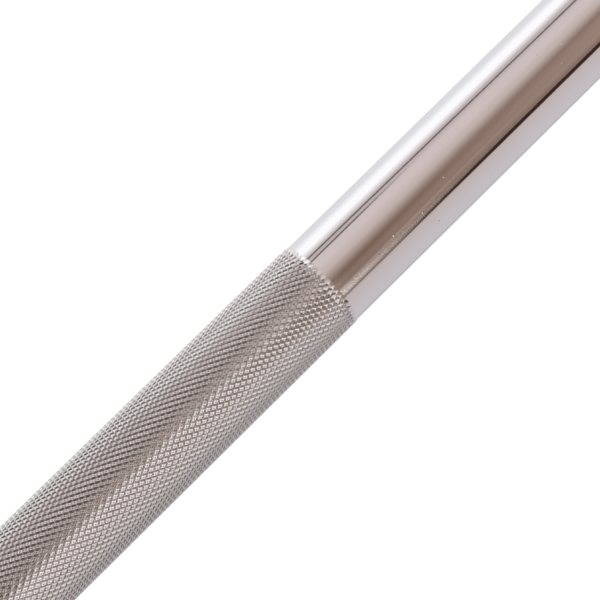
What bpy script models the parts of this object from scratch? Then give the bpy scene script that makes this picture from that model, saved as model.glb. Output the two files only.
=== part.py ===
# Fixed barbell: a chromed, knurled shaft with a bolted stack of rubber-covered iron plates on each end.
# The shaft lies along X with its middle at the origin, and +Z is up.
import math

import bmesh
import bpy
from mathutils import Matrix, Vector

MM = 0.001

# Fits
FIT_GAP = 0.3 * MM  # left between pieces that touch
ROUND_SIDES = 32  # flats on plates, collars and caps, one of them facing straight down
SHAFT_SIDES = 24
SCREW_SIDES = 24
PIN_SIDES = 12

# Shaft
SHAFT_D = 28 * MM
GRIP_LENGTH = 970 * MM  # from one collar shoulder to the other
SMOOTH_MIDDLE = 200 * MM
SMOOTH_END = 35 * MM  # bare length beside each shoulder, where a rack saddle holds the bar
KNURL_RISE = 0.2 * MM  # how far rolling the knurl swells the bar
KNURL_RUNOUT = 0.5 * MM
SPIGOT_D = 24 * MM
SHAFT_EDGE = 0.8 * MM
SPIGOT_SHORTFALL = 1 * MM  # the spigot ends this far from the cap's web, so the screw clamps the plates
TAP_DEPTH = 40 * MM
TAP_SINK = 1.2 * MM
DRILL_POINT_HALF_ANGLE = math.radians(59)

# Inner collar
COLLAR_LAP = 6 * MM  # how far the collar reaches back over the shaft
COLLAR_HUB_D = 44 * MM
COLLAR_DEPTH = 17 * MM  # from its inner step to the face that meets the plate
FLANGE_D = 72 * MM
FLANGE_THICKNESS = 8 * MM
COLLAR_EDGE = 1.2 * MM
COLLAR_FILLET = 2.5 * MM

# Spring pin through collar and spigot
PIN_D = 5 * MM
PIN_WALL = 1 * MM
PIN_SINK = 0.8 * MM  # how far each end lies under the hub's surface
PIN_SLOT = 0.9 * MM

# Plates
PLATE_HUB_D = 60 * MM  # bare iron hub that takes the clamping load
LARGE_CORE_D = 186 * MM
LARGE_CORE_THICKNESS = 22 * MM
LARGE_TREAD_WALL = 5.7 * MM  # rubber round the iron's rim
LARGE_FACE_WALL = 2.2 * MM  # rubber over the iron's faces, at the bottom of the dish
LARGE_CORNER = 7 * MM
LARGE_DISH_DEPTH = 2.5 * MM
LARGE_DISH_HUB_MARGIN = 14 * MM  # raised ring of rubber left between the hub and the dish
LARGE_DISH_RIM_MARGIN = 23 * MM  # and between the dish and the tread
SMALL_CORE_D = 112 * MM
SMALL_CORE_THICKNESS = 15 * MM
SMALL_TREAD_WALL = 4.7 * MM
SMALL_FACE_WALL = 2.7 * MM
SMALL_CORNER = 5 * MM

# End cap
CAP_D = 72 * MM
CAP_SOCKET_DEPTH = 6 * MM  # takes the spigot's end
CAP_WEB = 5 * MM
CAP_RECESS_D = 24 * MM
CAP_EDGE = 1.2 * MM
CAP_CORNER = 4 * MM
HEAD_BELOW_FACE = 1 * MM

# Screw and washers, M12
SCREW_D = 12 * MM
SCREW_CLEARANCE_D = 13.5 * MM
SCREW_LENGTH = 45 * MM
SCREW_HEAD_D = 18 * MM
SCREW_HEAD_HEIGHT = 12 * MM
SCREW_EDGE = 1 * MM
KEY_WIDTH = 10 * MM
KEY_DEPTH = 6 * MM
PLAIN_WASHER_D = 20 * MM
PLAIN_WASHER_THICKNESS = 2 * MM
LOCK_WASHER_D = 20.6 * MM
LOCK_WASHER_THICKNESS = 2.5 * MM
WASHER_BORE_D = 13 * MM
LOCK_WASHER_GAP = 2.4 * MM
LOCK_WASHER_SLANT = 1.6 * MM

# Whole plates, rubber over iron
LARGE_PLATE_D = LARGE_CORE_D + 2 * (FIT_GAP + LARGE_TREAD_WALL)
LARGE_PLATE_THICKNESS = LARGE_CORE_THICKNESS + 2 * (FIT_GAP + LARGE_FACE_WALL + LARGE_DISH_DEPTH)
SMALL_PLATE_D = SMALL_CORE_D + 2 * (FIT_GAP + SMALL_TREAD_WALL)
SMALL_PLATE_THICKNESS = SMALL_CORE_THICKNESS + 2 * (FIT_GAP + SMALL_FACE_WALL)

# Places along X, from the middle of the shaft outwards
SHOULDER_X = GRIP_LENGTH / 2
COLLAR_STEP_X = SHOULDER_X + FIT_GAP
COLLAR_FACE_X = COLLAR_STEP_X + COLLAR_DEPTH
PIN_X = SHOULDER_X + (COLLAR_DEPTH - FLANGE_THICKNESS) / 2
LARGE_PLATE_X = COLLAR_FACE_X + FIT_GAP + LARGE_PLATE_THICKNESS / 2
SMALL_PLATE_X = LARGE_PLATE_X + (LARGE_PLATE_THICKNESS + SMALL_PLATE_THICKNESS) / 2 + FIT_GAP
CAP_X = SMALL_PLATE_X + SMALL_PLATE_THICKNESS / 2 + FIT_GAP
SPIGOT_END_X = CAP_X + CAP_SOCKET_DEPTH - SPIGOT_SHORTFALL
PLAIN_WASHER_X = CAP_X + CAP_SOCKET_DEPTH + CAP_WEB + FIT_GAP
LOCK_WASHER_X = PLAIN_WASHER_X + PLAIN_WASHER_THICKNESS + FIT_GAP
SCREW_HEAD_X = LOCK_WASHER_X + LOCK_WASHER_THICKNESS + FIT_GAP
CAP_FACE_X = SCREW_HEAD_X + SCREW_HEAD_HEIGHT + HEAD_BELOW_FACE


def finish(name, colour, metallic, roughness):
    """A Principled material of one finish."""
    material = bpy.data.materials.new(name)
    material.use_nodes = True
    shader = material.node_tree.nodes["Principled BSDF"]
    shader.inputs["Base Color"].default_value = (*colour, 1)
    shader.inputs["Metallic"].default_value = metallic
    shader.inputs["Roughness"].default_value = roughness
    return material


def mesh_of(name, shape):
    """Turns a bmesh into a mesh that is shaded smooth, with its edges kept sharp."""
    bmesh.ops.recalc_face_normals(shape, faces=shape.faces)
    mesh = bpy.data.meshes.new(name)
    shape.to_mesh(mesh)
    shape.free()
    mesh.shade_smooth()
    mesh.set_sharp_from_angle(angle=math.radians(30))
    return mesh


def turned(name, outline, sides, closed):
    """A solid turned about X from (x, radius) points. Its flats lie on the true radius.

    A closed outline makes a ring, and an open one starts and ends on the axis."""
    shape = bmesh.new()
    half_side = math.pi / sides
    to_corner = Matrix.Rotation(half_side, 3, "X")
    points = [shape.verts.new(to_corner @ Vector((x, 0, -r / math.cos(half_side)))) for x, r in outline]
    edges = [shape.edges.new(pair) for pair in zip(points, points[1:])]
    if closed:
        edges.append(shape.edges.new((points[-1], points[0])))
    bmesh.ops.spin(
        shape, geom=points + edges, cent=(0, 0, 0), axis=(1, 0, 0), angle=math.tau, steps=sides, use_merge=True
    )
    bmesh.ops.remove_doubles(shape, verts=shape.verts, dist=0.001 * MM)
    return mesh_of(name, shape)


def corner_arc(centre_x, centre_r, radius, start, end, steps):
    """Points (x, radius) round a corner, with angles in degrees from +X towards the outside."""
    angles = [math.radians(start + (end - start) * i / steps) for i in range(steps + 1)]
    return [(centre_x + radius * math.cos(a), centre_r + radius * math.sin(a)) for a in angles]


def mirrored(half):
    """The outline of both sides of a piece that is symmetric about x = 0, from its +X half."""
    return [(-x, r) for x, r in reversed(half)] + half


def shaft_mesh():
    radius = SHAFT_D / 2
    spigot_r = SPIGOT_D / 2
    tap_r = SCREW_D / 2 + FIT_GAP
    knurl_start = SMOOTH_MIDDLE / 2
    knurl_end = SHOULDER_X - SMOOTH_END
    tap_end = SPIGOT_END_X - TAP_DEPTH
    half = [
        (knurl_start, radius),
        (knurl_start + KNURL_RUNOUT, radius + KNURL_RISE),
        (knurl_end - KNURL_RUNOUT, radius + KNURL_RISE),
        (knurl_end, radius),
        (SHOULDER_X - SHAFT_EDGE, radius),
        (SHOULDER_X, radius - SHAFT_EDGE),
        (SHOULDER_X, spigot_r),
        (SPIGOT_END_X - SHAFT_EDGE, spigot_r),
        (SPIGOT_END_X, spigot_r - SHAFT_EDGE),
        (SPIGOT_END_X, tap_r + TAP_SINK),
        (SPIGOT_END_X - TAP_SINK, tap_r),
        (tap_end, tap_r),
        (tap_end - tap_r / math.tan(DRILL_POINT_HALF_ANGLE), 0),
    ]
    return turned("shaft", mirrored(half), SHAFT_SIDES, closed=False)


def collar_mesh():
    """The collar, with x measured from its inner step, which seats on the shaft's shoulder."""
    over_shaft_r = SHAFT_D / 2 + FIT_GAP
    bore_r = SPIGOT_D / 2 + FIT_GAP
    hub_r = COLLAR_HUB_D / 2
    flange_r = FLANGE_D / 2
    flange_x = COLLAR_DEPTH - FLANGE_THICKNESS
    fillet = corner_arc(flange_x - COLLAR_FILLET, hub_r + COLLAR_FILLET, COLLAR_FILLET, -90, 0, 2)
    outline = [
        (-COLLAR_LAP, over_shaft_r),
        (-COLLAR_LAP, hub_r - COLLAR_EDGE),
        (-COLLAR_LAP + COLLAR_EDGE, hub_r),
        *fillet,
        (flange_x, flange_r - COLLAR_EDGE),
        (flange_x + COLLAR_EDGE, flange_r),
        (COLLAR_DEPTH, flange_r),
        (COLLAR_DEPTH, bore_r),
        (0, bore_r),
        (0, over_shaft_r),
    ]
    return turned("inner_collar", outline, ROUND_SIDES, closed=True)


def swept(name, sections):
    """A solid that joins each closed section, a list of points, to the next, with both ends capped."""
    shape = bmesh.new()
    rings = [[shape.verts.new(point) for point in section] for section in sections]
    for ring, following in zip(rings, rings[1:]):
        for i in range(len(ring)):
            j = (i + 1) % len(ring)
            shape.faces.new((ring[i], ring[j], following[j], following[i]))
    shape.faces.new(rings[0])
    shape.faces.new(rings[-1])
    return mesh_of(name, shape)


def pin_mesh():
    """A rolled spring pin: a tube along Z with a slot down its side."""
    outer_r = PIN_D / 2
    inner_r = outer_r - PIN_WALL
    half_length = COLLAR_HUB_D / 2 - PIN_SINK
    slot_angle = PIN_SLOT / outer_r
    corners = ((outer_r, half_length), (outer_r, -half_length), (inner_r, -half_length), (inner_r, half_length))
    sections = []
    for step in range(PIN_SIDES + 1):
        angle = slot_angle / 2 + (math.tau - slot_angle) * step / PIN_SIDES
        sections.append([(r * math.cos(angle), r * math.sin(angle), z) for r, z in corners])
    return swept("collar_pin", sections)


def core_mesh(name, core_d, core_thickness, plate_thickness):
    """A plate's iron: a disc with a hub as thick as the whole plate."""
    hub_r = PLATE_HUB_D / 2
    bore_r = SPIGOT_D / 2 + FIT_GAP
    half = [
        (core_thickness / 2, core_d / 2),
        (core_thickness / 2, hub_r),
        (plate_thickness / 2, hub_r),
        (plate_thickness / 2, bore_r),
    ]
    return turned(name, mirrored(half), ROUND_SIDES, closed=True)


def cover_mesh(name, plate_d, plate_thickness, core_d, core_thickness, corner, dish):
    """A plate's moulded rubber: a shell round the iron disc, open at the hub. dish is points down one face."""
    open_r = PLATE_HUB_D / 2 + FIT_GAP
    face_x = plate_thickness / 2
    cavity_x = core_thickness / 2 + FIT_GAP
    cavity_r = core_d / 2 + FIT_GAP
    shoulder = corner_arc(face_x - corner, plate_d / 2 - corner, corner, 90, 0, 2)
    half = [*shoulder, *dish, (face_x, open_r), (cavity_x, open_r), (cavity_x, cavity_r)]
    return turned(name, mirrored(half), ROUND_SIDES, closed=True)


def large_dish():
    """The shallow ring sunk into each face of the large plate, from its outer edge to its inner one."""
    face_x = LARGE_PLATE_THICKNESS / 2
    floor_x = face_x - LARGE_DISH_DEPTH
    outer_r = LARGE_PLATE_D / 2 - LARGE_DISH_RIM_MARGIN
    inner_r = PLATE_HUB_D / 2 + LARGE_DISH_HUB_MARGIN
    return [
        (face_x, outer_r),
        (floor_x, outer_r - LARGE_DISH_DEPTH),
        (floor_x, inner_r + LARGE_DISH_DEPTH),
        (face_x, inner_r),
    ]


def cap_mesh():
    """The end cap, with x measured from the face that clamps the plates."""
    socket_r = SPIGOT_D / 2 + FIT_GAP
    recess_r = CAP_RECESS_D / 2
    cap_r = CAP_D / 2
    face_x = CAP_FACE_X - CAP_X
    web_x = CAP_SOCKET_DEPTH + CAP_WEB
    outline = [
        (0, socket_r),
        (0, cap_r - CAP_EDGE),
        (CAP_EDGE, cap_r),
        *corner_arc(face_x - CAP_CORNER, cap_r - CAP_CORNER, CAP_CORNER, 90, 0, 2),
        (face_x, recess_r + CAP_EDGE),
        (face_x - CAP_EDGE, recess_r),
        (web_x, recess_r),
        (web_x, SCREW_CLEARANCE_D / 2),
        (CAP_SOCKET_DEPTH, SCREW_CLEARANCE_D / 2),
        (CAP_SOCKET_DEPTH, socket_r),
    ]
    return turned("end_cap", outline, ROUND_SIDES, closed=True)


def plain_washer_mesh():
    outer_r = PLAIN_WASHER_D / 2
    bore_r = WASHER_BORE_D / 2
    outline = [(0, bore_r), (0, outer_r), (PLAIN_WASHER_THICKNESS, outer_r), (PLAIN_WASHER_THICKNESS, bore_r)]
    return turned("plain_washer", outline, SCREW_SIDES, closed=True)


def lock_washer_mesh():
    """A spring washer clamped flat: one turn of square wire, cut through on a slant."""
    outer_r = LOCK_WASHER_D / 2
    inner_r = WASHER_BORE_D / 2
    far_x = LOCK_WASHER_THICKNESS
    corners = ((0, inner_r), (0, outer_r), (far_x, outer_r), (far_x, inner_r))
    sections = []
    for step in range(SCREW_SIDES + 1):
        section = []
        for x, r in corners:
            slant = LOCK_WASHER_SLANT * (x / far_x - 0.5)
            first = (LOCK_WASHER_GAP / 2 + slant) / outer_r
            last = math.tau - (LOCK_WASHER_GAP / 2 - slant) / outer_r
            angle = first + (last - first) * step / SCREW_SIDES
            section.append((x, r * math.sin(angle), r * math.cos(angle)))
        sections.append(section)
    return swept("lock_washer", sections)


def screw_mesh():
    """The socket head screw before its key socket is cut, with x measured from under its head."""
    radius = SCREW_D / 2
    head_r = SCREW_HEAD_D / 2
    outline = [
        (-SCREW_LENGTH, 0),
        (-SCREW_LENGTH, radius - SCREW_EDGE),
        (-SCREW_LENGTH + SCREW_EDGE, radius),
        (0, radius),
        (0, head_r),
        (SCREW_HEAD_HEIGHT - SCREW_EDGE, head_r),
        (SCREW_HEAD_HEIGHT, head_r - SCREW_EDGE),
        (SCREW_HEAD_HEIGHT, 0),
    ]
    return turned("end_screw", outline, SCREW_SIDES, closed=False)


def key_cutter_mesh():
    """A hexagonal prism that cuts the key socket and runs out past the head."""
    past_head = KEY_DEPTH
    outline = [(-KEY_DEPTH, 0), (-KEY_DEPTH, KEY_WIDTH / 2), (past_head, KEY_WIDTH / 2), (past_head, 0)]
    return turned("key_cutter", outline, 6, closed=False)


def pin_hole_cutter_mesh():
    """A cylinder along Z that drills the pin's hole right through the collar and the spigot."""
    shape = bmesh.new()
    radius = (PIN_D / 2 + FIT_GAP) / math.cos(math.pi / PIN_SIDES)
    bmesh.ops.create_cone(
        shape,
        cap_ends=True,
        segments=PIN_SIDES,
        radius1=radius,
        radius2=radius,
        depth=COLLAR_HUB_D + FLANGE_D,
    )
    return mesh_of("pin_hole_cutter", shape)


def add(name, mesh, material, x, parent=None):
    """Puts a piece in the scene, at x along the shaft."""
    piece = bpy.data.objects.new(name, mesh)
    bpy.context.scene.collection.objects.link(piece)
    piece.location = (x, 0, 0)
    piece.parent = parent
    if material:
        piece.data.materials.clear()
        piece.data.materials.append(material)
    return piece


def cut(piece, cutter):
    """Cuts one piece's shape out of another, and keeps the cutter out of the model."""
    cutter.hide_render = True
    cutter.display_type = "WIRE"
    boolean = piece.modifiers.new(f"{cutter.name}_cut", "BOOLEAN")
    boolean.operation = "DIFFERENCE"
    boolean.solver = "EXACT"
    boolean.object = cutter


def add_head(side, turn, shaft, meshes, finishes):
    """Everything at one end of the shaft. turn is the head's angle about Z, 0 on +X and half a turn on -X."""
    head = bpy.data.objects.new(f"{side}_head", None)
    bpy.context.scene.collection.objects.link(head)
    head.rotation_euler = (0, 0, turn)
    places = (
        ("inner_collar", "chrome", COLLAR_STEP_X),
        ("collar_pin", "spring_steel", PIN_X),
        ("large_plate_core", "cast_iron", LARGE_PLATE_X),
        ("large_plate_cover", "rubber", LARGE_PLATE_X),
        ("small_plate_core", "cast_iron", SMALL_PLATE_X),
        ("small_plate_cover", "rubber", SMALL_PLATE_X),
        ("end_cap", "chrome", CAP_X),
        ("plain_washer", "zinc_steel", PLAIN_WASHER_X),
        ("lock_washer", "spring_steel", LOCK_WASHER_X),
        ("end_screw", "zinc_steel", SCREW_HEAD_X),
    )
    pieces = {
        name: add(f"{side}_{name}", meshes[name], finishes[material], x, head) for name, material, x in places
    }
    pin_hole = add(f"{side}_pin_hole_cutter", meshes["pin_hole_cutter"], None, PIN_X, head)
    key = add(f"{side}_key_cutter", meshes["key_cutter"], None, SCREW_HEAD_X + SCREW_HEAD_HEIGHT, head)
    cut(pieces["inner_collar"], pin_hole)
    cut(shaft, pin_hole)
    cut(pieces["end_screw"], key)


def main():
    for leftover in list(bpy.data.objects):
        bpy.data.objects.remove(leftover)
    finishes = {
        "chrome": finish("chrome", (0.75, 0.74, 0.73), metallic=1, roughness=0.07),
        "cast_iron": finish("cast_iron", (0.10, 0.10, 0.10), metallic=1, roughness=0.7),
        "rubber": finish("rubber", (0.02, 0.02, 0.022), metallic=0, roughness=0.65),
        "spring_steel": finish("spring_steel", (0.30, 0.30, 0.31), metallic=1, roughness=0.4),
        "zinc_steel": finish("zinc_steel", (0.62, 0.63, 0.65), metallic=1, roughness=0.3),
    }
    meshes = {
        "inner_collar": collar_mesh(),
        "collar_pin": pin_mesh(),
        "large_plate_core": core_mesh(
            "large_plate_core", LARGE_CORE_D, LARGE_CORE_THICKNESS, LARGE_PLATE_THICKNESS
        ),
        "large_plate_cover": cover_mesh(
            "large_plate_cover",
            LARGE_PLATE_D,
            LARGE_PLATE_THICKNESS,
            LARGE_CORE_D,
            LARGE_CORE_THICKNESS,
            LARGE_CORNER,
            large_dish(),
        ),
        "small_plate_core": core_mesh(
            "small_plate_core", SMALL_CORE_D, SMALL_CORE_THICKNESS, SMALL_PLATE_THICKNESS
        ),
        "small_plate_cover": cover_mesh(
            "small_plate_cover",
            SMALL_PLATE_D,
            SMALL_PLATE_THICKNESS,
            SMALL_CORE_D,
            SMALL_CORE_THICKNESS,
            SMALL_CORNER,
            [],
        ),
        "end_cap": cap_mesh(),
        "plain_washer": plain_washer_mesh(),
        "lock_washer": lock_washer_mesh(),
        "end_screw": screw_mesh(),
        "key_cutter": key_cutter_mesh(),
        "pin_hole_cutter": pin_hole_cutter_mesh(),
    }
    shaft = add("shaft", shaft_mesh(), finishes["chrome"], 0)
    add_head("right", 0, shaft, meshes, finishes)
    add_head("left", math.pi, shaft, meshes, finishes)


main()
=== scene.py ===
# Looks of a fixed barbell: a chromed shaft with diamond-knurled grips, rubber-covered plates, collars and
# end caps.
# Everything is in metres, with the shaft along X, its middle at the origin and +Z up.
import math

import bmesh
import bpy
from mathutils import Matrix, Vector


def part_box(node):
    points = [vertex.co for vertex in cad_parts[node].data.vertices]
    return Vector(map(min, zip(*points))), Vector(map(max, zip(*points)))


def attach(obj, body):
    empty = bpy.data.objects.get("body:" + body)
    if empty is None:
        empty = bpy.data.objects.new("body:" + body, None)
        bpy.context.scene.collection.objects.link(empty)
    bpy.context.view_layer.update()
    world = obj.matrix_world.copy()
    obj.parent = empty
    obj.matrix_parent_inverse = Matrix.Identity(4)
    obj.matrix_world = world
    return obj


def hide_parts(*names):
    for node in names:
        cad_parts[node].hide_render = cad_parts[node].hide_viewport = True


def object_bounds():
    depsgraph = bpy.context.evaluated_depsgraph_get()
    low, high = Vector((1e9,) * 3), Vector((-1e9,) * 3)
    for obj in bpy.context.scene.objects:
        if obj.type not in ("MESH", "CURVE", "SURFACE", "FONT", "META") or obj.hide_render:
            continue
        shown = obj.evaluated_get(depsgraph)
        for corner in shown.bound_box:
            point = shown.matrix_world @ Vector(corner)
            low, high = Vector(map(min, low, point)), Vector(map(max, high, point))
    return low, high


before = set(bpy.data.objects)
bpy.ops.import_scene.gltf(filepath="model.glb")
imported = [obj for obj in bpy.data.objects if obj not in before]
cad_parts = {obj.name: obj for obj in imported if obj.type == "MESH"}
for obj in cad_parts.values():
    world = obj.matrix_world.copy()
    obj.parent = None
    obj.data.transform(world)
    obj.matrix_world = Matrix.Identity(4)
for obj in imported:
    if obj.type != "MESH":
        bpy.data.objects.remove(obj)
cad_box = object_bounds()

MM = 0.001

# Shaft, as the solids have it
SHAFT_RADIUS = 14 * MM
SMOOTH_MIDDLE = 200 * MM
SMOOTH_END = 35 * MM  # between each knurl and its shoulder
SHAFT_EDGE = 0.8 * MM
GRIP_LENGTH = 970 * MM  # between the shoulders
SPIGOT_RADIUS = 12 * MM

# Knurl
KNURL_STARTS = 54  # helices each way round the bar
KNURL_PITCH = 2.94 * MM  # length of one diamond along the bar, before it is fitted to the grip
KNURL_RISE = 0.2 * MM  # how far the flat tops stand above the smooth bar
KNURL_DEPTH = 0.38 * MM  # from the flat tops to the bottoms of the grooves that were rolled deeper
KNURL_CROSS_DEPTH = 0.28 * MM  # the same for the grooves that run the other way round
KNURL_TOP = 0.46  # width of the flat tops between the deeper grooves, as a share of the grooves' pitch
KNURL_DIMPLE = 0.03 * MM  # sunk into the middle of every top, where the rolled metal didn't quite meet
KNURL_CREASE = 30  # degrees; flatter edges are shaded smooth
KNURL_PLAY = 0.1 * MM  # between the knurled sleeve of metal and the bar's core
KNURL_WALL = 0.5 * MM  # metal kept under the grooves
KNURL_JOIN = 0.002 * MM  # corners of neighbouring diamonds within this are one
TIP_REACH = 0.01 * MM  # corners within this of the knurl's ends are the tips of its teeth

# Heads
HUB_RADIUS = 22 * MM
COLLAR_LAP = 6 * MM
FLANGE_THICKNESS = 8 * MM
COLLAR_FILLET = 2.5 * MM
TURNED_EDGE = 1.2 * MM
PIN_RADIUS = 2.5 * MM
PIN_WALL = 1 * MM
PIN_SLOT = 0.9 * MM
PIN_CHAMFER = 0.4 * MM
PLATE_OPENING_RADIUS = 30.3 * MM
LARGE_CORE_RADIUS = 93 * MM
LARGE_CORE_THICKNESS = 22 * MM
LARGE_CORNER = 7 * MM
LARGE_DISH_DEPTH = 2.5 * MM
LARGE_DISH_INNER_RADIUS = 44 * MM
LARGE_DISH_OUTER_RADIUS = 76 * MM
DISH_EDGE = 1.5 * MM
SMALL_CORE_RADIUS = 56 * MM
SMALL_CORE_THICKNESS = 15 * MM
SMALL_CORNER = 5 * MM
RUBBER_EDGE = 0.8 * MM
SEAM_WIDTH = 0.5 * MM
SEAM_DEPTH = 0.25 * MM
CAP_CORNER = 4 * MM
CAP_SOCKET_DEPTH = 6 * MM
CAP_WEB = 5 * MM
CAP_RECESS_RADIUS = 12 * MM
SCREW_RADIUS = 6 * MM
SCREW_HEAD_HEIGHT = 12 * MM
SCREW_CLEARANCE = 0.75 * MM
SCREW_EDGE = 1 * MM
KEY_WIDTH = 10 * MM
KEY_DEPTH = 6 * MM
WASHER_BORE_RADIUS = 6.5 * MM
WASHER_EDGE = 0.25 * MM
LOCK_WASHER_GAP = 2.4 * MM
LOCK_WASHER_SLANT = 1.6 * MM
BREAK_EDGE = 0.3 * MM
FIT_GAP = 0.3 * MM

# Fineness
ROUND_SEGMENTS = 192
SMALL_SEGMENTS = 72
CORNER_STEPS = 6
EDGE_SUPPORT = 0.06 * MM  # a narrow strip beside each rounded edge that keeps flat faces flat in reflections
MERGE_DISTANCE = 0.0001 * MM
SHARP_ANGLE = 35  # degrees; flatter edges are shaded smooth

# Camera, fitted to the bar's two edges and to the toothed ring where the knurl ends
CAMERA_AIM = Vector((-107.5, 1.14, 0)) * MM
CAMERA_AZIMUTH = math.radians(-45.18)
CAMERA_ELEVATION = math.radians(77.2)
CAMERA_DISTANCE = 537 * MM
CAMERA_LENS = 115.3  # millimetres, as Blender takes it
CAMERA_SENSOR = 36  # millimetres
CAMERA_CLIP = (0.01, 50)


# Nodes


def node(tree, kind, inputs=None, **settings):
    """Adds a node, sets its properties, and feeds its inputs with values or with other nodes' sockets."""
    made = tree.nodes.new(kind)
    for name, value in settings.items():
        setattr(made, name, value)
    for name, value in (inputs or {}).items():
        if isinstance(value, bpy.types.NodeSocket):
            tree.links.new(value, made.inputs[name])
        else:
            made.inputs[name].default_value = value
    return made


def maths(tree, operation, first, second=0.0, third=0.0):
    return node(tree, "ShaderNodeMath", {0: first, 1: second, 2: third}, operation=operation).outputs[0]


def product(tree, first, *others):
    for other in others:
        first = maths(tree, "MULTIPLY", first, other)
    return first


def spread(tree, value, low, high):
    """Goes straight from low to high while the value goes from 0 to 1."""
    return maths(tree, "MULTIPLY_ADD", value, high - low, low)


def blend(tree, value, start, end, low=0.0, high=1.0):
    """Goes softly from low to high while the value goes from start to end."""
    inputs = {"Value": value, "From Min": start, "From Max": end, "To Min": low, "To Max": high}
    return node(tree, "ShaderNodeMapRange", inputs, interpolation_type="SMOOTHSTEP").outputs["Result"]


def window(tree, value, start, end, soft):
    """1 between start and end, with soft edges that reach outwards."""
    rise = blend(tree, value, maths(tree, "SUBTRACT", start, soft), start)
    fall = blend(tree, value, end, maths(tree, "ADD", end, soft), 1.0, 0.0)
    return product(tree, rise, fall)


def mix_colour(tree, factor, first, second):
    made = node(tree, "ShaderNodeMix", {0: factor}, data_type="RGBA")
    for index, value in ((6, first), (7, second)):
        if isinstance(value, bpy.types.NodeSocket):
            tree.links.new(value, made.inputs[index])
        else:
            made.inputs[index].default_value = (*value, 1)
    return made.outputs[2]


def ramp(tree, factor, stops):
    """A colour ramp from (position, colour) stops."""
    made = node(tree, "ShaderNodeValToRGB", {"Fac": factor})
    elements = made.color_ramp.elements
    while len(elements) < len(stops):
        elements.new(0.5)
    for element, (position, colour) in zip(elements, stops):
        element.position = position
        element.color = (*colour, 1)
    return made.outputs["Color"]


def plain_or_mirrored(tree, path, plain, mirrored):
    """One shader for mirror reflections and another for every other ray."""
    shaders = {0: path["Is Glossy Ray"], 1: plain.outputs[0], 2: mirrored.outputs[0]}
    return node(tree, "ShaderNodeMixShader", shaders).outputs[0]


def noise(tree, place, scale, detail):
    inputs = {"Vector": place, "Scale": scale, "Detail": detail}
    return node(tree, "ShaderNodeTexNoise", inputs).outputs["Fac"]


def object_place(tree):
    return node(tree, "ShaderNodeTexCoord").outputs["Object"]


def axes_of(tree, vector):
    return node(tree, "ShaderNodeSeparateXYZ", {0: vector}).outputs


def radius_of(tree, place):
    """Distance from the shaft's axis."""
    axes = axes_of(tree, place)
    squares = maths(tree, "MULTIPLY_ADD", axes[1], axes[1], product(tree, axes[2], axes[2]))
    return maths(tree, "SQRT", squares)


# Studio

CHROME_TINT = (0.80, 0.795, 0.79)


def mirrored_tone(red, green, blue):
    """What the studio must show for the chrome to give these 8-bit display values."""
    shares = [value / 255 for value in (red, green, blue)]
    linear = [s / 12.92 if s <= 0.04045 else ((s + 0.055) / 1.055) ** 2.4 for s in shares]
    return tuple(value / tint for value, tint in zip(linear, CHROME_TINT))


WHITE_BOX = mirrored_tone(251, 250, 253)
BOX_EDGE = mirrored_tone(226, 221, 223)
PALE_FLOOR = mirrored_tone(221, 220, 225)
GREY_FLOOR = mirrored_tone(212, 211, 215)
LIT_FLOOR = mirrored_tone(244, 244, 246)
SHADY_FLOOR = mirrored_tone(176, 173, 175)
LILAC_FLOOR = mirrored_tone(194, 187, 191)
LILAC_WALL = mirrored_tone(192, 180, 179)
PINK_WALL = mirrored_tone(188, 173, 168)
CREAM_WALL = mirrored_tone(203, 190, 188)
SHADED_WALL = mirrored_tone(185, 172, 171)
DUSK_WALL = mirrored_tone(162, 143, 135)
BROWN_CEILING = mirrored_tone(114, 91, 80)
TAUPE_CEILING = mirrored_tone(131, 109, 98)
SANDY_CEILING = mirrored_tone(158, 134, 123)
PALE_CEILING = mirrored_tone(250, 240, 238)
PINK_TRIM = mirrored_tone(176, 160, 152)
DARK_TRIM = mirrored_tone(44, 27, 25)
PLAIN_END = mirrored_tone(205, 198, 197)

# A direction in the studio has an angle round the bar, in degrees from straight up and positive towards +Y,
# and a part along the bar, from -1 to 1. All angles of the studio are in degrees.
STUDIO_TONES = (
    (-180, PALE_FLOOR),
    (-172, GREY_FLOOR),
    (-160, SHADY_FLOOR),
    (-151, SHADY_FLOOR),
    (-142, LILAC_FLOOR),
    (-108, LILAC_FLOOR),
    (-80, LILAC_WALL),
    (-72, PINK_WALL),
    (-62, TAUPE_CEILING),
    (-34, TAUPE_CEILING),
    (-25, BROWN_CEILING),
    (-21, BROWN_CEILING),
    (-8, DUSK_WALL),
    (3, PINK_WALL),
    (24, CREAM_WALL),
    (40, CREAM_WALL),
    (51, SHADED_WALL),
    (60, SHADED_WALL),
    (70, BOX_EDGE),
    (78, WHITE_BOX),
    (94, WHITE_BOX),
    (113, PALE_FLOOR),
    (136, GREY_FLOOR),
    (142, GREY_FLOOR),
    (158, LIT_FLOOR),
    (180, PALE_FLOOR),
)

# The smooth stretch of bar in the photo mirrors directions with these parts along it
STRETCH_START = 0.17  # where the knurl ends
STRETCH_END = 0.37  # at the picture's edge

# Overhead, the tones slant and turn sandy over the stretch
SLANT = -5.0
SLANT_RISE = (-50, -25)
SLANT_FALL = (-5, 35, 1.0, 0.0)
SANDY_SPAN = (-48, -20, 12)  # start, end and soft edge
SANDY_STRENGTH = 0.75

# Thin lines: middle at the start of the stretch, lean over the stretch, half of the width, and soft edge
NEAR_LINE = (46.0, 0.0, 0.8, 2.0)
FAR_LINE = (58.4, -7.0, 1.0, 1.8)
PINK_STRIP = (-60.25, 0.0, 4.25, 2.0)
PINK_LINE = (-48.2, 4.5, 0.5, 1.4)
DARK_LINE_SOFT = 1.6

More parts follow.
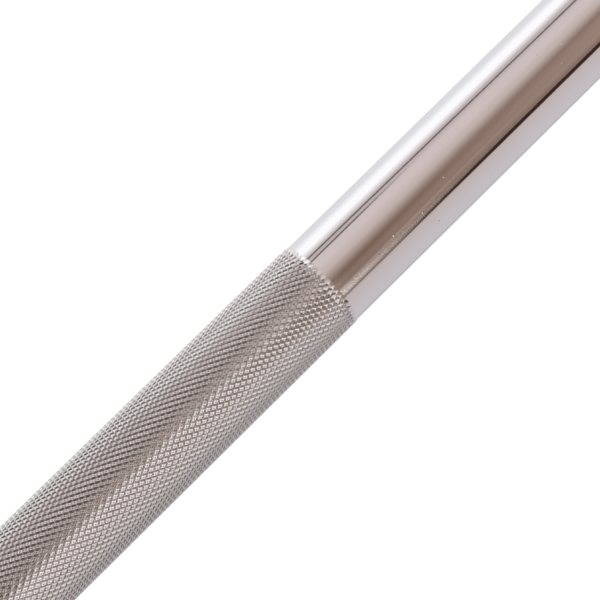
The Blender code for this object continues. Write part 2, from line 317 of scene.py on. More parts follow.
# How the lines change, from one share of the stretch to another: strengths, and two edges by their angle
NEAR_LINE_FADE = (0.15, 0.42, 0.85, 0.0)
FAR_LINE_STRENGTH = 0.8
BOX_LINES_START = (-0.1, 0.0)
PINK_STRIP_FADE = (0.06, 0.4, 0.95, 0.0)
PINK_LINE_FADE = (0.2, 0.9, 0.55, 0.15)
DARK_LINE_GROWTH = (0.0, 0.45, 0.62, 0.97)
DARK_LINE_LOW_EDGE = (0.2, 0.8, -69.0, -70.2)
DARK_LINE_HIGH_EDGE = (0.2, 0.6, -67.6, -62.4)

# What only the knurl mirrors: a pale ceiling and wall, and a white box that dulls towards -X
PALE_OVERHEAD = (-66, -20, 12)  # start, end and soft edge
PALE_BESIDE = (34, 62, 10)
PALE_BESIDE_STRENGTH = 0.6
PALE_REACH = (0.172, 0.15)  # along the bar
DULL_BOX = (58, 112, 8)
DULL_BOX_REACH = (0.12, 0.03, 0.0, 0.95)

# The studio's ends: where each sets in along the bar, and its greys by angle, each as its middle 8-bit value
END_WARMTH = (6, -2, -4)  # added to a grey for its red, green and blue
BRIGHT_END_REACH = (0.42, 0.52)
BRIGHT_END_GREYS = (
    (-100, 160),
    (-49, 160),
    (-24, 190),
    (-4, 222),
    (25, 204),
    (42, 214),
    (60, 250),
    (80, 245),
    (110, 195),
)
DARK_END_REACH = (-0.25, -0.4)
DARK_END_GREYS = (
    (-100, 172),
    (-72, 105),
    (-48, 118),
    (-24, 158),
    (0, 170),
    (25, 144),
    (45, 120),
    (60, 195),
    (80, 190),
    (110, 182),
)
DEEP_END_REACH = (-0.5, -0.6)
DEEP_END_GREYS = (
    (-100, 172),
    (-72, 95),
    (-48, 85),
    (-24, 100),
    (0, 110),
    (25, 80),
    (45, 88),
    (60, 165),
    (80, 160),
    (110, 182),
)
PLAIN_END_REACH = (0.8, 0.97)  # straight along the bar, either way

# A dark stand overhead that the knurl's deeper grooves mirror twice
STAND_START = -0.48  # along the bar
STAND_END = -0.12
STAND_END_SOFT = 0.08
STAND_ANGLE = -10.5  # at the stand's end
STAND_TURN = -31  # for each unit along
STAND_HALF = 9
STAND_SOFT = 5


def angle_round(tree, across, up):
    """Angle round the bar in degrees, 0 straight up and positive towards +Y."""
    return maths(tree, "DEGREES", maths(tree, "ARCTAN2", across, up))


def studio_tones(tree, angle, tones=STUDIO_TONES):
    stops = [((degrees + 180) / 360, colour) for degrees, colour in tones]
    return ramp(tree, maths(tree, "MULTIPLY_ADD", angle, 1 / 360, 0.5), stops)


def end_tones(tree, angle, greys):
    tones = [(degrees, mirrored_tone(*(grey + extra for extra in END_WARMTH))) for degrees, grey in greys]
    return studio_tones(tree, angle, tones)


def slanted_tones(tree, angle, outward):
    """The studio's tones, which slant and turn sandy overhead, the more the further out."""
    overhead = product(tree, blend(tree, angle, *SLANT_RISE), blend(tree, angle, *SLANT_FALL))
    slant = product(tree, outward, overhead, SLANT)
    tones = studio_tones(tree, maths(tree, "ADD", angle, slant))
    sandy = product(tree, window(tree, angle, *SANDY_SPAN), outward, SANDY_STRENGTH)
    return mix_colour(tree, sandy, tones, SANDY_CEILING)


def thin_line(tree, angle, outward, middle, lean, half, soft):
    """1 on a line of the studio that leans as it runs outward."""
    centre = maths(tree, "MULTIPLY_ADD", outward, lean, middle)
    return window(tree, maths(tree, "SUBTRACT", angle, centre), -half, half, soft)


def add_lines(tree, colour, angle, outward):
    """Two dark lines beside the white box, and two pink ones and a dark one overhead."""
    near = product(tree, thin_line(tree, angle, outward, *NEAR_LINE), blend(tree, outward, *NEAR_LINE_FADE))
    far = product(tree, thin_line(tree, angle, outward, *FAR_LINE), FAR_LINE_STRENGTH)
    beside_box = product(tree, maths(tree, "MAXIMUM", near, far), blend(tree, outward, *BOX_LINES_START))
    colour = mix_colour(tree, beside_box, colour, DARK_TRIM)
    for place, fade in ((PINK_STRIP, PINK_STRIP_FADE), (PINK_LINE, PINK_LINE_FADE)):
        strip = product(tree, thin_line(tree, angle, outward, *place), blend(tree, outward, *fade))
        colour = mix_colour(tree, strip, colour, PINK_TRIM)
    low_edge = blend(tree, outward, *DARK_LINE_LOW_EDGE)
    high_edge = blend(tree, outward, *DARK_LINE_HIGH_EDGE)
    between = window(tree, angle, low_edge, high_edge, DARK_LINE_SOFT)
    dark = product(tree, between, blend(tree, outward, *DARK_LINE_GROWTH))
    return mix_colour(tree, dark, colour, DARK_TRIM)


def add_ends(tree, colour, angle, along):
    """The parts that only the knurl mirrors, a bright end towards +X and a dark one towards -X."""
    beside = product(tree, window(tree, angle, *PALE_BESIDE), PALE_BESIDE_STRENGTH)
    pale = maths(tree, "ADD", window(tree, angle, *PALE_OVERHEAD), beside)
    colour = mix_colour(tree, product(tree, pale, blend(tree, along, *PALE_REACH)), colour, PALE_CEILING)
    dull_box = product(tree, window(tree, angle, *DULL_BOX), blend(tree, along, *DULL_BOX_REACH))
    colour = mix_colour(tree, dull_box, colour, LILAC_WALL)
    ends = (
        (BRIGHT_END_REACH, BRIGHT_END_GREYS),
        (DARK_END_REACH, DARK_END_GREYS),
        (DEEP_END_REACH, DEEP_END_GREYS),
    )
    for reach, greys in ends:
        colour = mix_colour(tree, blend(tree, along, *reach), colour, end_tones(tree, angle, greys))
    either_way = maths(tree, "ABSOLUTE", along)
    return mix_colour(tree, blend(tree, either_way, *PLAIN_END_REACH), colour, PLAIN_END)


def add_stand(tree, colour, angle, along):
    """The dark stand overhead, a soft bar that turns about the shaft as it runs along."""
    centre = maths(tree, "MULTIPLY_ADD", along, STAND_TURN, STAND_ANGLE - STAND_TURN * STAND_END)
    across = window(tree, maths(tree, "SUBTRACT", angle, centre), -STAND_HALF, STAND_HALF, STAND_SOFT)
    lengthwise = window(tree, along, STAND_START, STAND_END, STAND_END_SOFT)
    return mix_colour(tree, product(tree, lengthwise, across), colour, DARK_TRIM)


DOME_LEVEL = 0.55


def build_world():
    """White behind the object, a plain soft dome for its light, and the studio for its reflections."""
    world = bpy.data.worlds.new("studio")
    bpy.context.scene.world = world
    world.use_nodes = True
    world.cycles.sampling_method = "NONE"
    tree = world.node_tree
    tree.nodes.clear()
    direction = node(tree, "ShaderNodeTexCoord").outputs["Generated"]
    along, across, up = axes_of(tree, direction)
    angle = angle_round(tree, across, up)
    stretch = {"Value": along, "From Min": STRETCH_START, "From Max": STRETCH_END}
    outward = node(tree, "ShaderNodeMapRange", stretch).outputs["Result"]
    studio = add_lines(tree, slanted_tones(tree, angle, outward), angle, outward)
    studio = add_ends(tree, studio, angle, along)
    studio = add_stand(tree, studio, angle, along)
    path = node(tree, "ShaderNodeLightPath").outputs
    level = spread(tree, path["Is Camera Ray"], DOME_LEVEL, 1.0)
    white = node(tree, "ShaderNodeBackground", {"Color": (1, 1, 1, 1), "Strength": level})
    mirrored = node(tree, "ShaderNodeBackground", {"Color": studio})
    output = node(tree, "ShaderNodeOutputWorld")
    tree.links.new(plain_or_mirrored(tree, path, white, mirrored), output.inputs["Surface"])


FLOOR_SIZE = 24.0
FLOOR_ALBEDO = 0.9
FLOOR_LIFT = 0.2  # shown to the camera alone, so that the lit floor reads as white
FAR_FLOOR_LIFT = 0.51  # the same beyond the lamp's reach
LIFT_REACH = (0.8, 3.0)  # from the barbell's middle, over which one lift turns into the other
SHADE_UNDER_BAR_ACROSS = (-0.03, 0.08, 0.02)  # painted shade on the floor under the bar, which only the chrome sees: start, end and soft edge
SHADE_UNDER_BAR_ALONG = (-0.08, 0.05)  # it sets in here and runs on towards +X
LAMP_HEIGHT = 2.6
LAMP_SIZE = 3.2
LAMP_WATTS = 62


def build_floor(level):
    """A white floor that keeps the barbell's soft shadow. To the chrome it glows with painted light and shade
    in the tones of the studio, with a painted shade under the bar.
    """
    half = FLOOR_SIZE / 2
    mesh = bpy.data.meshes.new("floor")
    corners = [(-half, -half, level), (half, -half, level), (half, half, level), (-half, half, level)]
    mesh.from_pydata(corners, [], [(0, 1, 2, 3)])
    floor = bpy.data.objects.new("floor", mesh)
    bpy.context.scene.collection.objects.link(floor)
    material = bpy.data.materials.new("floor")
    material.use_nodes = True
    tree = material.node_tree
    tree.nodes.clear()
    place = object_place(tree)
    along, across, up = axes_of(tree, place)
    # Painted light and shade: mirror rays see the floor glow with lit and shady tones from the studio's ramp
    tones = studio_tones(tree, angle_round(tree, across, up))
    # Painted shade: the floor that the chrome sees turns grey under the bar
    painted_shade = product(tree, window(tree, across, *SHADE_UNDER_BAR_ACROSS), blend(tree, along, *SHADE_UNDER_BAR_ALONG))
    tones = mix_colour(tree, painted_shade, tones, GREY_FLOOR)
    mirrored = node(tree, "ShaderNodeEmission", {"Color": tones})
    lit = node(tree, "ShaderNodeBsdfDiffuse", {"Color": (FLOOR_ALBEDO, FLOOR_ALBEDO, FLOOR_ALBEDO, 1)})
    path = node(tree, "ShaderNodeLightPath").outputs
    distance = node(tree, "ShaderNodeVectorMath", {0: place}, operation="LENGTH").outputs["Value"]
    strength = blend(tree, distance, *LIFT_REACH, FLOOR_LIFT, FAR_FLOOR_LIFT)
    lift = node(tree, "ShaderNodeEmission", {"Strength": product(tree, path["Is Camera Ray"], strength)})
    white = node(tree, "ShaderNodeAddShader", {0: lit.outputs[0], 1: lift.outputs[0]})
    output = node(tree, "ShaderNodeOutputMaterial")
    tree.links.new(plain_or_mirrored(tree, path, white, mirrored), output.inputs["Surface"])
    mesh.materials.append(material)


def build_lamp():
    """One broad soft lamp overhead. The chrome mirrors the studio and not the lamp."""
    lamp = bpy.data.lights.new("overhead", "AREA")
    lamp.shape = "SQUARE"
    lamp.size = LAMP_SIZE
    lamp.energy = LAMP_WATTS
    holder = bpy.data.objects.new("overhead", lamp)
    bpy.context.scene.collection.objects.link(holder)
    holder.location = (0, 0, LAMP_HEIGHT)
    holder.visible_glossy = False


def build_camera():
    data = bpy.data.cameras.new("camera")
    data.lens = CAMERA_LENS
    data.sensor_width = CAMERA_SENSOR
    data.clip_start, data.clip_end = CAMERA_CLIP
    camera = bpy.data.objects.new("camera", data)
    bpy.context.scene.collection.objects.link(camera)
    level = math.cos(CAMERA_ELEVATION)
    back = Vector(
        (math.sin(CAMERA_AZIMUTH) * level, -math.cos(CAMERA_AZIMUTH) * level, math.sin(CAMERA_ELEVATION))
    )
    camera.location = CAMERA_AIM + back * CAMERA_DISTANCE
    camera.rotation_mode = "QUATERNION"
    camera.rotation_quaternion = (-back).to_track_quat("-Z", "Y")
    bpy.context.scene.camera = camera


# Materials


def new_material(name, colour, metallic, roughness):
    """A material with plain values, which the textures then vary."""
    material = bpy.data.materials.new(name)
    material.use_nodes = True
    tree = material.node_tree
    shader = tree.nodes["Principled BSDF"]
    shader.inputs["Base Color"].default_value = (*colour, 1)
    shader.inputs["Metallic"].default_value = metallic
    shader.inputs["Roughness"].default_value = roughness
    return material, tree, shader


def add_bump(tree, shader, height, strength, distance):
    bump = node(tree, "ShaderNodeBump", {"Height": height, "Strength": strength, "Distance": distance})
    tree.links.new(bump.outputs[0], shader.inputs["Normal"])


# The grain of the plating is coarser in a streak beside the left knurl
STREAK_SPAN = (-35.0, -30.5, 2.0)  # degrees round the bar: start, end and soft edge
STREAK_REACH = (-30 * MM, -70 * MM)  # along the bar, over which it sets in
PLATE_GRAIN = 0.13  # heights of the grain, as shares of a flaw's
STREAK_GRAIN = 0.93
FLAW_HEIGHT = 0.06 * MM

# Flaws in the plating of the smooth middle: place along the bar in millimetres, degrees round it, size in
# millimetres, and 1 for a raised nib or -1 for a pit
PLATING_FLAWS = (
    (-65.5, -56.0, 0.30, -1),
    (-78.5, -27.0, 0.32, 1),
    (-68.0, -32.0, 0.35, 1),
    (-72.5, -1.5, 0.25, 1),
    (-57.0, -19.0, 0.22, 1),
    (-20.0, -21.5, 0.34, 1),
    (-13.0, 6.0, 0.22, -1),
    (-6.0, -5.5, 0.24, 1),
    (-33.0, -7.5, 0.22, -1),
    (-9.5, -21.0, 0.22, 1),
)
PIT_COLOUR = (0.10, 0.08, 0.08)


def polished_chrome():
    """Mirror-bright plate: a fine grain, coarser in a streak beside the knurl, and a few nibs and pits."""
    material, tree, shader = new_material("polished_chrome", CHROME_TINT, metallic=1.0, roughness=0.05)
    place = object_place(tree)
    along, across, up = axes_of(tree, place)
    angle = angle_round(tree, across, up)
    streak = product(tree, window(tree, angle, *STREAK_SPAN), blend(tree, along, *STREAK_REACH))
    grain = noise(tree, place, scale=3200.0, detail=1.0)
    height = product(tree, grain, spread(tree, streak, PLATE_GRAIN, STREAK_GRAIN))
    pits = 0.0
    for x, degrees, size, sign in PLATING_FLAWS:
        turn = math.radians(degrees)
        centre = Vector((x * MM, SHAFT_RADIUS * math.sin(turn), SHAFT_RADIUS * math.cos(turn)))
        away = node(tree, "ShaderNodeVectorMath", {0: place, 1: centre}, operation="DISTANCE")
        flaw = blend(tree, away.outputs["Value"], size * MM, 0.0)
        height = maths(tree, "MULTIPLY_ADD", flaw, float(sign), height)
        if sign < 0:
            pits = maths(tree, "MAXIMUM", flaw, pits)
    tree.links.new(mix_colour(tree, pits, CHROME_TINT, PIT_COLOUR), shader.inputs["Base Color"])
    add_bump(tree, shader, height, strength=0.35, distance=FLAW_HEIGHT)
    return material


GROOVE_DARK_COLOUR = (0.20, 0.17, 0.16)
GROOVE_DARK_SHARES = (0.05, 0.25)  # least and most darkening of the colour, low in the grooves
GROOVE_DARK_MOTTLE = (0.3, 0.7)  # of the noise, from the least to the most
HOLLOW_DARKENING = 0.75  # darkening of the colour in the sunk middles of the tops
HOLLOW_START = 1.1  # depths of the hollow's edges, as shares of the dimple's
HOLLOW_END = 0.6
HOLLOW_SOFT = 0.3
TOP_ROUGHNESS = 0.05
GROOVE_ROUGHNESS = 0.22
TOP_DEPTH = 0.15  # where the tops' roughness turns into the grooves', as shares of the knurl's depth
GROOVE_DEPTH = 0.9


def knurled_chrome():
    """Chrome over a rolled knurl: bright on the tops, darker in their sunk middles and low in the grooves,
    and dull low in the grooves.
    """
    material, tree, shader = new_material("knurled_chrome", CHROME_TINT, metallic=1.0, roughness=0.16)
    place = object_place(tree)
    radius = radius_of(tree, place)
    top = SHAFT_RADIUS + KNURL_RISE
    depth = blend(tree, radius, top - KNURL_DEPTH / 2, top - KNURL_DEPTH)
    mottle = blend(tree, noise(tree, place, scale=240.0, detail=3.0), *GROOVE_DARK_MOTTLE, *GROOVE_DARK_SHARES)
    hollow_start = top - KNURL_DIMPLE * HOLLOW_START
    hollow_end = top - KNURL_DIMPLE * HOLLOW_END
    hollow = window(tree, radius, hollow_start, hollow_end, KNURL_DIMPLE * HOLLOW_SOFT)
    # The colour turns darker, mottled, low in the grooves, and darker still in the tops' sunk middles
    darkening = maths(tree, "MAXIMUM", product(tree, depth, mottle), product(tree, hollow, HOLLOW_DARKENING))
    tree.links.new(mix_colour(tree, darkening, CHROME_TINT, GROOVE_DARK_COLOUR), shader.inputs["Base Color"])
    shallow = top - KNURL_DEPTH * TOP_DEPTH
    deep = top - KNURL_DEPTH * GROOVE_DEPTH
    roughness = blend(tree, radius, shallow, deep, TOP_ROUGHNESS, GROOVE_ROUGHNESS)
    tree.links.new(roughness, shader.inputs["Roughness"])
    add_bump(tree, shader, noise(tree, place, scale=2600.0, detail=2.0), strength=0.12, distance=0.03 * MM)
    return material


COLLAR_CHROME = (0.76, 0.755, 0.75)
ZINC = (0.62, 0.63, 0.65)
SPRING_STEEL = (0.20, 0.20, 0.21)
BLOTCH_SHADE = 0.9  # of the metal's colour
BLOTCH_ROUGHNESS = (-0.05, 0.07)  # added to the metal's own


def turned_metal(name, colour, roughness, ring_strength):
    """Metal with soft blotches and fine lathe rings, which are noise drawn out round the shaft's axis."""
    material, tree, shader = new_material(name, colour, metallic=1.0, roughness=roughness)
    place = object_place(tree)
    along = axes_of(tree, place)[0]
    rings = node(tree, "ShaderNodeCombineXYZ", {0: along, 1: radius_of(tree, place)}).outputs[0]
    cut = noise(tree, rings, scale=5200.0, detail=2.0)
    blotch = noise(tree, place, scale=60.0, detail=4.0)
    rough = spread(tree, blotch, *(roughness + extra for extra in BLOTCH_ROUGHNESS))
    tree.links.new(rough, shader.inputs["Roughness"])
    shade = tuple(value * BLOTCH_SHADE for value in colour)
    mixed = mix_colour(tree, blend(tree, blotch, 0.4, 0.75), colour, shade)
    tree.links.new(mixed, shader.inputs["Base Color"])
    add_bump(tree, shader, cut, strength=ring_strength, distance=0.02 * MM)
    return material


RUBBER_BLACK = (0.02, 0.02, 0.022)
RUBBER_DEEP = (0.017, 0.017, 0.018)
RUBBER_BLOOM = (0.030, 0.030, 0.032)
RUBBER_SCUFF = (0.085, 0.082, 0.08)
FACE_SCUFFS = 0.12  # how scuffed the faces and the tread are
TREAD_SCUFFS = 0.62
TREAD_EDGE = 5 * MM  # how far in from the tread its scuffs fade out


def moulded_rubber():
    """Satin black rubber: fine mould grain, paler bloom in patches, and scuffs, most of all on the tread."""
    material, tree, shader = new_material("moulded_rubber", RUBBER_BLACK, metallic=0.0, roughness=0.6)
    place = object_place(tree)
    grain = noise(tree, place, scale=1400.0, detail=4.0)
    bloom = noise(tree, place, scale=34.0, detail=6.0)
    tread = blend(tree, radius_of(tree, place), cad_box[1].z - TREAD_EDGE, cad_box[1].z)
    scuffs = product(tree, blend(tree, bloom, 0.5, 0.68), spread(tree, tread, FACE_SCUFFS, TREAD_SCUFFS))
    bloomed = mix_colour(tree, blend(tree, bloom, 0.3, 0.8), RUBBER_DEEP, RUBBER_BLOOM)
    tree.links.new(mix_colour(tree, scuffs, bloomed, RUBBER_SCUFF), shader.inputs["Base Color"])
    tree.links.new(spread(tree, grain, 0.45, 0.7), shader.inputs["Roughness"])
    add_bump(tree, shader, grain, strength=0.5, distance=0.08 * MM)
    return material


PRIMER_BLACK = (0.05, 0.05, 0.05)
BARE_IRON = (0.34, 0.34, 0.34)
PRIMER_EDGE = 0.2 * MM  # either side of the hub's rim


def primed_iron():
    """Black primer over a sand-cast skin, with machined hub faces."""
    material, tree, shader = new_material("primed_iron", PRIMER_BLACK, metallic=0.3, roughness=0.6)
    place = object_place(tree)
    cast = noise(tree, place, scale=420.0, detail=5.0)
    hub_radius = PLATE_OPENING_RADIUS - FIT_GAP
    hub = blend(tree, radius_of(tree, place), hub_radius + PRIMER_EDGE, hub_radius - PRIMER_EDGE)
    tree.links.new(mix_colour(tree, hub, PRIMER_BLACK, BARE_IRON), shader.inputs["Base Color"])
    tree.links.new(spread(tree, hub, 0.3, 1.0), shader.inputs["Metallic"])
    tree.links.new(spread(tree, cast, 0.4, 0.7), shader.inputs["Roughness"])
    add_bump(tree, shader, cast, strength=0.4, distance=0.1 * MM)
    return material


# Shapes


def rounded(corners):
    """Points (x, radius) along an outline of (x, radius, rounding) corners, each rounded off as it says."""
    points = []
    for i, (x, r, rounding) in enumerate(corners):
        here = Vector((x, r))
        if not rounding:
            points.append((x, r))
            continue
        before = (Vector(corners[i - 1][:2]) - here).normalized()
        after = (Vector(corners[(i + 1) % len(corners)][:2]) - here).normalized()
        half = before.angle(after) / 2
        reach = rounding / math.tan(half)
        centre = here + (before + after).normalized() * rounding / math.sin(half)
        first = here + before * reach - centre
        last = here + after * reach - centre
        start = math.atan2(first.y, first.x)
        turn = (math.atan2(last.y, last.x) - start + math.pi) % math.tau - math.pi
        points.append(tuple(here + before * (reach + EDGE_SUPPORT)))
        for step in range(CORNER_STEPS + 1):
            angle = start + turn * step / CORNER_STEPS
            points.append((centre.x + rounding * math.cos(angle), centre.y + rounding * math.sin(angle)))
        points.append(tuple(here + after * (reach + EDGE_SUPPORT)))
    return points


def both_sides(half, middle=()):
    """A whole outline that is symmetric about x = 0, from the points of its +X half, middle outwards."""
    return [(-corner[0], *corner[1:]) for corner in reversed(half)] + [*middle] + half


def moved(corners, x):
    return [(corner[0] + x, *corner[1:]) for corner in corners]


def finished(mesh, sharp_angle=SHARP_ANGLE):
    """Merges doubles, turns the faces outwards and shades the mesh smooth between its sharp edges."""
    shape = bmesh.new()
    shape.from_mesh(mesh)
    bmesh.ops.remove_doubles(shape, verts=shape.verts, dist=MERGE_DISTANCE)
    bmesh.ops.recalc_face_normals(shape, faces=shape.faces)
    shape.to_mesh(mesh)
    shape.free()
    mesh.shade_smooth()
    mesh.set_sharp_from_angle(angle=math.radians(sharp_angle))
    return mesh


def turned(outline, segments, closed, first_angle=0.0):
    """A mesh turned about X from (x, radius) points. An open outline starts and ends on the axis."""
    count = len(outline)
    points = []
    faces = []
    for step in range(segments):
        angle = first_angle + math.tau * step / segments
        points += [(x, r * math.sin(angle), r * math.cos(angle)) for x, r in outline]
        here = step * count
        following = (step + 1) % segments * count
        for i in range(count if closed else count - 1):
            j = (i + 1) % count
            faces.append((here + i, here + j, following + j, following + i))
    mesh = bpy.data.meshes.new("turned")
    mesh.from_pydata(points, [], faces)
    return finished(mesh)


def swept(sections):
    """A mesh that joins each closed section, a list of points, to the next, with both ends capped."""
    size = len(sections[0])
    points = [point for section in sections for point in section]
    faces = [tuple(range(size)), tuple(range(len(points) - size, len(points)))]
    for start in range(0, len(points) - size, size):
        for i in range(size):
            j = (i + 1) % size
            faces.append((start + i, start + j, start + size + j, start + size + i))
    mesh = bpy.data.meshes.new("swept")
    mesh.from_pydata(points, [], faces)
    return finished(mesh)


def carved(mesh, cutters):
    """The mesh with every cutter's shape taken out of it."""
    piece = bpy.data.objects.new("carved", mesh)
    bpy.context.scene.collection.objects.link(piece)
    tools = []
    for cutter in cutters:
        tool = bpy.data.objects.new("cutter", cutter)
        bpy.context.scene.collection.objects.link(tool)
        boolean = piece.modifiers.new("cut", "BOOLEAN")
        boolean.operation = "DIFFERENCE"
        boolean.solver = "EXACT"
        boolean.object = tool
        tools.append(tool)
    result = bpy.data.meshes.new_from_object(piece.evaluated_get(bpy.context.evaluated_depsgraph_get()))
    for leftover in [piece, *tools]:
        bpy.data.objects.remove(leftover)
    return finished(result)


def add_piece(name, mesh, material, slot, *solids):
    """Links a finished mesh as a piece of the barbell, in the place of the solids that it is drawn over."""
    mesh.name = name
    mesh.materials.clear()
    mesh.materials.append(material)
    piece = bpy.data.objects.new(name, mesh)
    bpy.context.scene.collection.objects.link(piece)
    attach(piece, "root")
    if solids:
        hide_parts(*solids)
    return piece


# Shaft


def knurl_reach():
    """Where the knurl starts and ends along the bar, on the +X side."""
    return SMOOTH_MIDDLE / 2, GRIP_LENGTH / 2 - SMOOTH_END


def knurl_bore():
    return SHAFT_RADIUS + KNURL_RISE - KNURL_DEPTH - KNURL_WALL


def build_shaft(material):
    """The smooth steel of the shaft, necked under both knurls, which are pieces of their own."""
    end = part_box("shaft")[1].x
    shoulder = GRIP_LENGTH / 2
    knurl_start, knurl_end = knurl_reach()
    half = [
        (knurl_start, SHAFT_RADIUS),
        (knurl_start, knurl_bore() - KNURL_PLAY),
        (knurl_end, knurl_bore() - KNURL_PLAY),
        (knurl_end, SHAFT_RADIUS),
        (shoulder - SHAFT_EDGE, SHAFT_RADIUS),
        (shoulder, SHAFT_RADIUS - SHAFT_EDGE),
        (shoulder, SPIGOT_RADIUS),
        (end - SHAFT_EDGE, SPIGOT_RADIUS),
        (end, SPIGOT_RADIUS - SHAFT_EDGE),
        (end, 0),
    ]
    mesh = turned(both_sides(half), ROUND_SEGMENTS, closed=False)
    add_piece("shaft_bar", mesh, material, "shaft_chrome", "shaft")


def knurl_tile(diamond):
    """One diamond of the knurl, laid flat: a top with a sunk middle, on slopes down to the groove bottoms.

    Places on it are counted from -1 to 1 across the deeper grooves and across the shallower ones. The deeper
    grooves run on level through the crossings, and between crossings the shallower ones rise to a saddle.
    """
    half_width = math.pi * SHAFT_RADIUS / KNURL_STARTS
    slope = KNURL_DEPTH / (1 - KNURL_TOP)
    cross_top = 1 - KNURL_CROSS_DEPTH / slope
    crossings = [(1, 1, KNURL_DEPTH), (1, -1, KNURL_DEPTH), (-1, -1, KNURL_DEPTH), (-1, 1, KNURL_DEPTH)]
    saddles = [(0, 1, KNURL_CROSS_DEPTH), (0, -1, KNURL_CROSS_DEPTH)]
    middle = [(0, 0, KNURL_DIMPLE)]
    top = [(KNURL_TOP, cross_top, 0), (KNURL_TOP, -cross_top, 0)]
    top += [(-KNURL_TOP, -cross_top, 0), (-KNURL_TOP, cross_top, 0)]
    points = []
    for u, v, drop in crossings + saddles + middle + top:
        points.append((diamond / 2 * (u + v) / 2, half_width * (u - v) / 2, KNURL_RISE - drop))
    # Crossings are points 0 to 3, saddles 4 and 5, the middle 6, and the top's corners 7 to 10
    slopes = [(0, 1, 8, 7), (1, 5, 8), (4, 0, 7), (2, 3, 10, 9), (5, 2, 9), (3, 4, 10), (4, 7, 10), (5, 9, 8)]
    dimple = [(6, 7, 8), (6, 8, 9), (6, 9, 10), (6, 10, 7)]
    mesh = bpy.data.meshes.new("knurl_tile")
    mesh.from_pydata(points, [], slopes + dimple)
    tile = bpy.data.objects.new("knurl_tile", mesh)
    bpy.context.scene.collection.objects.link(tile)
    return tile


def knurl_tree(material):
    """Sets the tile on a flat lattice of diamonds, and rolls the sheet into a tube about X."""
    tree = bpy.data.node_groups.new("rolled_knurl", "GeometryNodeTree")
    sockets = tree.interface
    sockets.new_socket("Geometry", in_out="INPUT", socket_type="NodeSocketGeometry")
    sockets.new_socket("Tile", in_out="INPUT", socket_type="NodeSocketObject")
    for name in ("Radius", "Start", "Diamond length"):
        sockets.new_socket(name, in_out="INPUT", socket_type="NodeSocketFloat")
    for name in ("Rows", "Starts"):
        sockets.new_socket(name, in_out="INPUT", socket_type="NodeSocketInt")
    sockets.new_socket("Geometry", in_out="OUTPUT", socket_type="NodeSocketGeometry")
    given = node(tree, "NodeGroupInput").outputs
    width = maths(tree, "DIVIDE", product(tree, given["Radius"], math.tau), given["Starts"])
    points = node(tree, "GeometryNodePoints", {"Count": product(tree, given["Rows"], given["Starts"])})
    # Points are numbered row by row, and every other row is moved by half a diamond
    index = node(tree, "GeometryNodeInputIndex").outputs[0]
    row = maths(tree, "FLOOR", maths(tree, "DIVIDE", maths(tree, "ADD", index, 0.5), given["Starts"]))
    column = maths(tree, "SUBTRACT", index, product(tree, row, given["Starts"]))
    odd = maths(tree, "MODULO", row, 2.0)
    step = product(tree, given["Diamond length"], 0.5)
    x = maths(tree, "MULTIPLY_ADD", row, step, given["Start"])
    y = product(tree, maths(tree, "MULTIPLY_ADD", odd, 0.5, column), width)
    flat = node(tree, "ShaderNodeCombineXYZ", {0: x, 1: y}).outputs[0]
    tree.links.new(flat, points.inputs["Position"])
    tile = node(tree, "GeometryNodeObjectInfo", {"Object": given["Tile"]}).outputs["Geometry"]
    placed = node(tree, "GeometryNodeInstanceOnPoints", {"Points": points.outputs[0], "Instance": tile})
    sheet = node(tree, "GeometryNodeRealizeInstances", {"Geometry": placed.outputs[0]})
    here = axes_of(tree, node(tree, "GeometryNodeInputPosition").outputs[0])
    turn = maths(tree, "DIVIDE", here[1], given["Radius"])
    out = maths(tree, "ADD", here[2], given["Radius"])
    across = product(tree, out, maths(tree, "SINE", turn))
    up = product(tree, out, maths(tree, "COSINE", turn))
    rolled_place = node(tree, "ShaderNodeCombineXYZ", {0: here[0], 1: across, 2: up}).outputs[0]
    rolled = node(tree, "GeometryNodeSetPosition", {"Geometry": sheet.outputs[0], "Position": rolled_place})
    seams = {"Geometry": rolled.outputs[0], "Distance": KNURL_JOIN}
    joined = node(tree, "GeometryNodeMergeByDistance", seams)
    dressed = node(tree, "GeometryNodeSetMaterial", {"Geometry": joined.outputs[0], "Material": material})
    result = node(tree, "NodeGroupOutput")
    tree.links.new(dressed.outputs[0], result.inputs[0])
    return tree


def rolled_sheet(tree, values):
    """Runs the knurl's nodes with the given inputs and returns the result as a plain mesh."""
    holder = bpy.data.objects.new("holder", bpy.data.meshes.new("holder"))
    bpy.context.scene.collection.objects.link(holder)
    modifier = holder.modifiers.new("rolled_knurl", "NODES")
    modifier.node_group = tree
    for item in tree.interface.items_tree:
        if item.in_out == "INPUT" and item.name in values:
            modifier[item.identifier] = values[item.name]
    mesh = bpy.data.meshes.new_from_object(holder.evaluated_get(bpy.context.evaluated_depsgraph_get()))
    bpy.data.objects.remove(holder)
    return mesh


def rim_path(tip, tips):
    """The corners along the sheet's open edge from one tip to the next one round the bar."""
    rims = [edge.other_vert(tip) for edge in tip.link_edges if edge.is_boundary]
    path = [tip, next(v for v in rims if tip.co.cross(v.co).x > 0)]
    while path[-1] not in tips:
        rims = [edge.other_vert(path[-1]) for edge in path[-1].link_edges if edge.is_boundary]
        path.append(next(v for v in rims if v != path[-2]))
    return path


def set_radius(corner, radius):
    """Moves a corner straight out from the bar's axis, or in towards it."""
    _, corner.co.y, corner.co.z = Vector((0, corner.co.y, corner.co.z)).normalized() * radius


